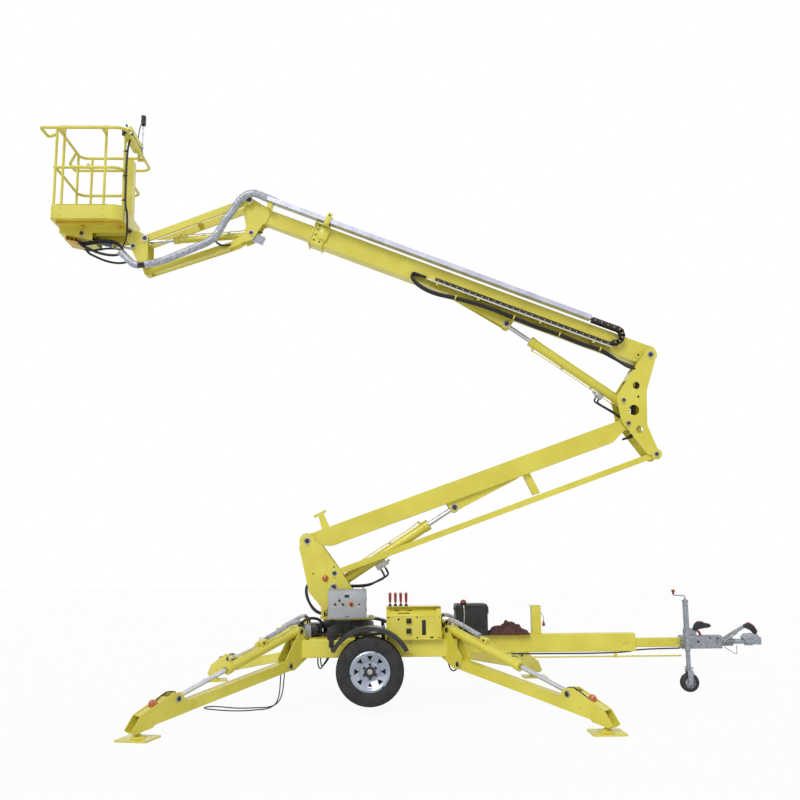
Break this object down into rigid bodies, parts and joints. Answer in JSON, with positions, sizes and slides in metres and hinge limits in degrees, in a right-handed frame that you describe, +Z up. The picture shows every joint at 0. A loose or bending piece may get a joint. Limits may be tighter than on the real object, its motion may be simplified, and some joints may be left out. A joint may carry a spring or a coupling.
{
  "type": "towable boom lift",
  "caption": "Towable articulated boom lift standing on its outriggers, with a riser, a telescopic boom, a jib and a two-person basket.",
  "frame": {"origin": "middle of the footprint on the ground", "axes": "+X towards the towing coupling, +Y to the far side from the operator, +Z up"},
  "size_m": [7.9597, 4.2858, 6.8573],
  "materials": {
    "yellow_paint": "gloss",
    "grey_paint": "satin",
    "silver_paint": "satin",
    "black_paint": "satin",
    "black_plastic": "matte",
    "galvanised": "satin",
    "chrome_rod": "polished",
    "tray_aluminium": "satin",
    "tyre_rubber": "matte",
    "hose_rubber": "matte",
    "red_grip": "satin",
    "cover_fabric": "matte"
  },
  "bodies": {
    "chassis": {"chassis_frame": "yellow_paint", "axle": "black_paint", "mudguards": "black_paint", "drawbar": "yellow_paint", "slew_ring": "black_paint", "hydraulic_box": "yellow_paint", "power_pack": "black_plastic", "folded_cover": "cover_fabric", "ground_cable": "hose_rubber", "coupling_housing": "galvanised", "coupling_head": "galvanised", "jockey_tube": "galvanised"},
    "wheel_near": {"tyre_near": "tyre_rubber", "rim_near": "silver_paint"},
    "wheel_far": {"tyre_far": "tyre_rubber", "rim_far": "silver_paint"},
    "turret": {"turret": "yellow_paint", "control_box": "grey_paint"},
    "riser_boom": {"riser_boom": "yellow_paint"},
    "riser_link": {"riser_link": "yellow_paint"},
    "riser_barrel": {"riser_barrel": "yellow_paint"},
    "riser_rod": {"riser_rod": "chrome_rod"},
    "knuckle": {"knuckle": "yellow_paint"},
    "boom_outer": {"boom_outer": "yellow_paint", "chain_track": "yellow_paint"},
    "boom_barrel": {"boom_barrel": "yellow_paint"},
    "boom_rod": {"boom_rod": "chrome_rod"},
    "boom_inner": {"boom_inner": "yellow_paint", "hose_tray": "tray_aluminium"},
    "chain_loop": {"chain_loop": "black_plastic"},
    "jib_upper_arm": {"jib_upper_arm": "yellow_paint"},
    "jib_lower_arm": {"jib_lower_arm": "yellow_paint"},
    "jib_barrel": {"jib_barrel": "yellow_paint"},
    "jib_rod": {"jib_rod": "chrome_rod"},
    "jib_head": {"jib_head": "yellow_paint"},
    "basket": {"basket_floor": "yellow_paint", "basket_rails": "yellow_paint", "basket_console": "yellow_paint"},
    "levelling_barrel": {"levelling_barrel": "yellow_paint"},
    "levelling_rod": {"levelling_rod": "chrome_rod"},
    "handbrake_lever": {"handbrake_lever": "red_grip"},
    "jockey_leg": {"jockey_leg": "galvanised"},
    "jockey_wheel": {"jockey_wheel": "hose_rubber"},
    "leg_near_left": {"leg_near_left": "yellow_paint", "foot_near_left": "yellow_paint"},
    "leg_barrel_near_left": {"leg_barrel_near_left": "yellow_paint"},
    "leg_rod_near_left": {"leg_rod_near_left": "chrome_rod"},
    "leg_near_right": {"leg_near_right": "yellow_paint", "foot_near_right": "yellow_paint"},
    "leg_barrel_near_right": {"leg_barrel_near_right": "yellow_paint"},
    "leg_rod_near_right": {"leg_rod_near_right": "chrome_rod"},
    "leg_far_left": {"leg_far_left": "yellow_paint", "foot_far_left": "yellow_paint"},
    "leg_barrel_far_left": {"leg_barrel_far_left": "yellow_paint"},
    "leg_rod_far_left": {"leg_rod_far_left": "chrome_rod"},
    "leg_far_right": {"leg_far_right": "yellow_paint", "foot_far_right": "yellow_paint"},
    "leg_barrel_far_right": {"leg_barrel_far_right": "yellow_paint"},
    "leg_rod_far_right": {"leg_rod_far_right": "chrome_rod"}
  },
  "joints": [
    {"name": "wheel_spin_near", "type": "hinge", "parent": "chassis", "child": "wheel_near", "pos_m": [-0.306, -0.748, 0.412], "axis": [0, 1, 0], "continuous": true},
    {"name": "wheel_spin_far", "type": "hinge", "parent": "chassis", "child": "wheel_far", "pos_m": [-0.306, 0.748, 0.412], "axis": [0, 1, 0], "continuous": true},
    {"name": "leg_near_left_fold", "type": "hinge", "parent": "chassis", "child": "leg_near_left", "pos_m": [-1.163, -0.6, 0.456], "axis": [0.766, -0.6428, 0], "range_deg": [-85, 0]},
    {"name": "leg_barrel_near_left_swing", "type": "hinge", "parent": "chassis", "child": "leg_barrel_near_left", "pos_m": [-1.06723, -0.48586, 0.791], "axis": [0.766, -0.6428, 0], "range_deg": [-85, 4]},
    {"name": "leg_rod_near_left_slide", "type": "slide", "parent": "leg_barrel_near_left", "child": "leg_rod_near_left", "axis": [-0.6129, -0.7305, -0.3013], "range_m": [-0.5, 0.02]},
    {"name": "leg_near_right_fold", "type": "hinge", "parent": "chassis", "child": "leg_near_right", "pos_m": [0.637, -0.6, 0.456], "axis": [0.766, 0.6428, 0], "range_deg": [-85, 0]},
    {"name": "leg_barrel_near_right_swing", "type": "hinge", "parent": "chassis", "child": "leg_barrel_near_right", "pos_m": [0.54122, -0.48586, 0.791], "axis": [0.766, 0.6428, 0], "range_deg": [-85, 4]},
    {"name": "leg_rod_near_right_slide", "type": "slide", "parent": "leg_barrel_near_right", "child": "leg_rod_near_right", "axis": [0.6129, -0.7305, -0.3013], "range_m": [-0.5, 0.02]},
    {"name": "leg_far_left_fold", "type": "hinge", "parent": "chassis", "child": "leg_far_left", "pos_m": [-1.163, 0.6, 0.456], "axis": [-0.766, -0.6428, 0], "range_deg": [-85, 0]},
    {"name": "leg_barrel_far_left_swing", "type": "hinge", "parent": "chassis", "child": "leg_barrel_far_left", "pos_m": [-1.06723, 0.48586, 0.791], "axis": [-0.766, -0.6428, 0], "range_deg": [-85, 4]},
    {"name": "leg_rod_far_left_slide", "type": "slide", "parent": "leg_barrel_far_left", "child": "leg_rod_far_left", "axis": [-0.6129, 0.7305, -0.3013], "range_m": [-0.5, 0.02]},
    {"name": "leg_far_right_fold", "type": "hinge", "parent": "chassis", "child": "leg_far_right", "pos_m": [0.637, 0.6, 0.456], "axis": [-0.766, 0.6428, 0], "range_deg": [-85, 0]},
    {"name": "leg_barrel_far_right_swing", "type": "hinge", "parent": "chassis", "child": "leg_barrel_far_right", "pos_m": [0.54122, 0.48586, 0.791], "axis": [-0.766, 0.6428, 0], "range_deg": [-85, 4]},
    {"name": "leg_rod_far_right_slide", "type": "slide", "parent": "leg_barrel_far_right", "child": "leg_rod_far_right", "axis": [0.6129, 0.7305, -0.3013], "range_m": [-0.5, 0.02]},
    {"name": "slew", "type": "hinge", "parent": "chassis", "child": "turret", "pos_m": [-0.556, 0, 0.885], "axis": [0, 0, 1], "range_deg": [0, 355]},
    {"name": "riser", "type": "hinge", "parent": "turret", "child": "riser_boom", "pos_m": [-0.993, 0, 1.722], "axis": [0, -1, 0], "range_deg": [-27, 50]},
    {"name": "riser_link_swing", "type": "hinge", "parent": "turret", "child": "riser_link", "pos_m": [-0.693, 0, 1.372], "axis": [0, -1, 0], "range_deg": [-27, 50]},
    {"name": "knuckle_level", "type": "hinge", "parent": "riser_boom", "child": "knuckle", "pos_m": [2.59624, 0, 3.00007], "axis": [0, -1, 0], "range_deg": [-50, 27]},
    {"name": "riser_barrel_swing", "type": "hinge", "parent": "turret", "child": "riser_barrel", "pos_m": [-0.701, 0, 1.226], "axis": [0, -1, 0], "range_deg": [-27, 50]},
    {"name": "riser_rod_slide", "type": "slide", "parent": "riser_barrel", "child": "riser_rod", "axis": [0.842, 0, 0.5395], "range_m": [-0.26, 0.48]},
    {"name": "boom", "type": "hinge", "parent": "knuckle", "child": "boom_outer", "pos_m": [2.88624, 0, 3.78607], "axis": [0, 1, 0], "range_deg": [-20, 50]},
    {"name": "boom_barrel_swing", "type": "hinge", "parent": "knuckle", "child": "boom_barrel", "pos_m": [2.55524, 0, 3.26307], "axis": [0, 1, 0], "range_deg": [-20, 50]},
    {"name": "boom_rod_slide", "type": "slide", "parent": "boom_barrel", "child": "boom_rod", "axis": [-0.8178, 0, 0.5755], "range_m": [-0.23, 0.56]},
    {"name": "boom_telescope", "type": "slide", "parent": "boom_outer", "child": "boom_inner", "axis": [-0.933, 0, 0.36], "range_m": [0, 2.6]},
    {"name": "chain_loop_slide", "type": "slide", "parent": "boom_outer", "child": "chain_loop", "axis": [-0.933, 0, 0.36], "range_m": [0, 1.31]},
    {"name": "jib", "type": "hinge", "parent": "boom_inner", "child": "jib_upper_arm", "pos_m": [-1.68823, 0, 5.62839], "axis": [0, 1, 0], "range_deg": [-40, 70]},
    {"name": "jib_lower_swing", "type": "hinge", "parent": "boom_inner", "child": "jib_lower_arm", "pos_m": [-1.66823, 0, 5.25339], "axis": [0, 1, 0], "range_deg": [-40, 70]},
    {"name": "jib_head_level", "type": "hinge", "parent": "jib_upper_arm", "child": "jib_head", "pos_m": [-2.87335, 0, 5.16633], "axis": [0, 1, 0], "range_deg": [-70, 40]},
    {"name": "jib_barrel_swing", "type": "hinge", "parent": "boom_inner", "child": "jib_barrel", "pos_m": [-1.66823, 0, 5.25339], "axis": [0, 1, 0], "range_deg": [-40, 70]},
    {"name": "jib_rod_slide", "type": "slide", "parent": "jib_barrel", "child": "jib_rod", "axis": [-0.9974, 0, -0.0721], "range_m": [-0.27, 0.47]},
    {"name": "basket_level", "type": "hinge", "parent": "jib_head", "child": "basket", "pos_m": [-3.04535, 0, 5.24533], "axis": [0, 1, 0], "range_deg": [-50, 20]},
    {"name": "levelling_barrel_swing", "type": "hinge", "parent": "basket", "child": "levelling_barrel", "pos_m": [-3.579, 0, 5.21], "axis": [0, 1, 0], "range_deg": [-3, 5]},
    {"name": "levelling_rod_slide", "type": "slide", "parent": "levelling_barrel", "child": "levelling_rod", "axis": [0.9734, 0, -0.229], "range_m": [-0.15, 0.06]},
    {"name": "handbrake", "type": "hinge", "parent": "chassis", "child": "handbrake_lever", "pos_m": [3.494, -0.069, 0.6], "axis": [0, -1, 0], "range_deg": [0, 55]},
    {"name": "jockey_slide", "type": "slide", "parent": "chassis", "child": "jockey_leg", "axis": [0, 0, 1], "range_m": [-0.08, 0.19]},
    {"name": "jockey_wheel_spin", "type": "hinge", "parent": "jockey_leg", "child": "jockey_wheel", "pos_m": [3.102, -0.195, 0.193], "axis": [0, 1, 0], "continuous": true}
  ],
  "couplings": [
    {"joint": "leg_barrel_near_left_swing", "follows": "leg_near_left_fold", "ratio": 1},
    {"joint": "leg_rod_near_left_slide", "follows": "leg_near_left_fold", "m_per_rad": 0.335},
    {"joint": "leg_barrel_near_right_swing", "follows": "leg_near_right_fold", "ratio": 1},
    {"joint": "leg_rod_near_right_slide", "follows": "leg_near_right_fold", "m_per_rad": 0.335},
    {"joint": "leg_barrel_far_left_swing", "follows": "leg_far_left_fold", "ratio": 1},
    {"joint": "leg_rod_far_left_slide", "follows": "leg_far_left_fold", "m_per_rad": 0.335},
    {"joint": "leg_barrel_far_right_swing", "follows": "leg_far_right_fold", "ratio": 1},
    {"joint": "leg_rod_far_right_slide", "follows": "leg_far_right_fold", "m_per_rad": 0.335},
    {"joint": "riser_link_swing", "follows": "riser", "ratio": 1},
    {"joint": "knuckle_level", "follows": "riser", "ratio": -1},
    {"joint": "riser_barrel_swing", "follows": "riser", "ratio": 0.92},
    {"joint": "riser_rod_slide", "follows": "riser", "m_per_rad": 0.54},
    {"joint": "boom_barrel_swing", "follows": "boom", "ratio": 0.9},
    {"joint": "boom_rod_slide", "follows": "boom", "m_per_rad": 0.63},
    {"joint": "chain_loop_slide", "follows": "boom_telescope", "ratio": 0.5},
    {"joint": "jib_lower_swing", "follows": "jib", "ratio": 1},
    {"joint": "jib_head_level", "follows": "jib", "ratio": -1},
    {"joint": "jib_barrel_swing", "follows": "jib", "ratio": 0.93},
    {"joint": "jib_rod_slide", "follows": "jib", "m_per_rad": 0.38},
    {"joint": "basket_level", "follows": "boom", "ratio": -1},
    {"joint": "levelling_barrel_swing", "follows": "boom", "ratio": 0.077},
    {"joint": "levelling_rod_slide", "follows": "boom", "m_per_rad": -0.16}
  ]
}
